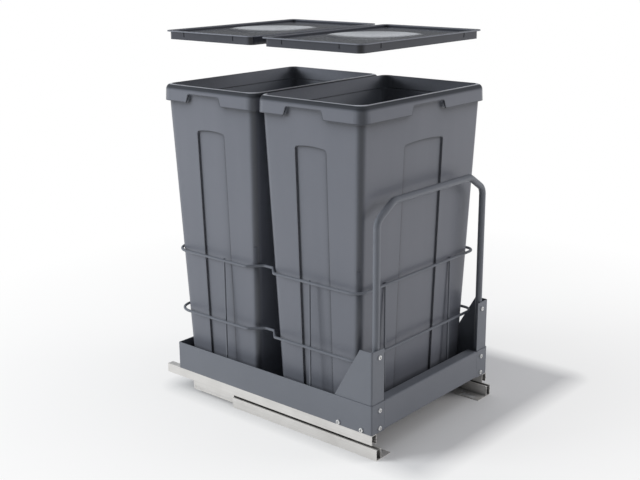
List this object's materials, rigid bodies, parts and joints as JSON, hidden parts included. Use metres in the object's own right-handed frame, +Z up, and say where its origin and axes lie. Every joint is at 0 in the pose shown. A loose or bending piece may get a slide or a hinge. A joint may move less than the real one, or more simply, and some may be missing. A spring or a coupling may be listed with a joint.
{
  "type": "pull out trash cabinet",
  "caption": "Pull-out waste unit for a kitchen cabinet: bins with lift-off lids in wire rings, on a steel tray with a hoop handle and full-extension ball slides.",
  "frame": {"origin": "on the cabinet floor, in the middle between the two slides and of their overall length", "axes": "+Z up, -Y towards the hoop handle (the way the unit pulls out), +X across"},
  "size_m": [0.3574, 0.51, 0.6796],
  "materials": {
    "zinc_steel": "bright zinc-plated rolled steel",
    "screw_steel": "bright zinc-plated screws",
    "ball_steel": "polished bearing steel",
    "cage_plastic": "moulded cage strip",
    "grey_enamel": "dark grey powder coat, satin",
    "bin_plastic": "dark grey moulded polypropylene",
    "lid_plastic": "dark grey moulded polypropylene, slightly glossy on top"
  },
  "bodies": {
    "cabinet_rails": {"fixed_rail_left": "zinc_steel", "fixed_rail_right": "zinc_steel"},
    "middle_rails": {"middle_rail_left": "zinc_steel", "middle_rail_right": "zinc_steel"},
    "lower_cages": {"lower_cage_left": "cage_plastic", "lower_cage_right": "cage_plastic", "lower_balls": "ball_steel"},
    "upper_cages": {"upper_cage_left": "cage_plastic", "upper_cage_right": "cage_plastic", "upper_balls": "ball_steel"},
    "tray": {"tray_pan": "grey_enamel", "side_panel_left": "grey_enamel", "side_panel_right": "grey_enamel", "upright_left": "grey_enamel", "upright_right": "grey_enamel", "hoop_handle": "grey_enamel", "carriage_rail_left": "zinc_steel", "carriage_rail_right": "zinc_steel", "upper_ring": "grey_enamel", "lower_ring": "grey_enamel", "side_posts": "grey_enamel", "front_posts": "grey_enamel", "front_screws": "screw_steel", "side_screws": "screw_steel"},
    "front_bin": {"front_bin": "bin_plastic"},
    "rear_bin": {"rear_bin": "bin_plastic"},
    "front_lid": {"front_lid": "lid_plastic"},
    "rear_lid": {"rear_lid": "lid_plastic"}
  },
  "joints": [
    {"name": "tray_slide", "type": "slide", "parent": "cabinet_rails", "child": "tray", "axis": [0, -1, 0], "range_m": [0, 0.45]},
    {"name": "middle_slide", "type": "slide", "parent": "cabinet_rails", "child": "middle_rails", "axis": [0, -1, 0], "range_m": [0, 0.225]},
    {"name": "lower_cage_slide", "type": "slide", "parent": "cabinet_rails", "child": "lower_cages", "axis": [0, -1, 0], "range_m": [0, 0.1125]},
    {"name": "upper_cage_slide", "type": "slide", "parent": "cabinet_rails", "child": "upper_cages", "axis": [0, -1, 0], "range_m": [0, 0.3375]},
    {"name": "front_bin_lift", "type": "slide", "parent": "tray", "child": "front_bin", "axis": [0, 0, 1], "range_m": [0, 0.4]},
    {"name": "rear_bin_lift", "type": "slide", "parent": "tray", "child": "rear_bin", "axis": [0, 0, 1], "range_m": [0, 0.4]},
    {"name": "front_lid_lift", "type": "slide", "parent": "front_bin", "child": "front_lid", "axis": [0, 0, 1], "range_m": [-0.0915, 0.1]},
    {"name": "rear_lid_lift", "type": "slide", "parent": "rear_bin", "child": "rear_lid", "axis": [0, 0, 1], "range_m": [-0.0915, 0.1]}
  ],
  "couplings": [
    {"joint": "middle_slide", "follows": "tray_slide", "ratio": 0.5},
    {"joint": "lower_cage_slide", "follows": "tray_slide", "ratio": 0.25},
    {"joint": "upper_cage_slide", "follows": "tray_slide", "ratio": 0.75}
  ]
}
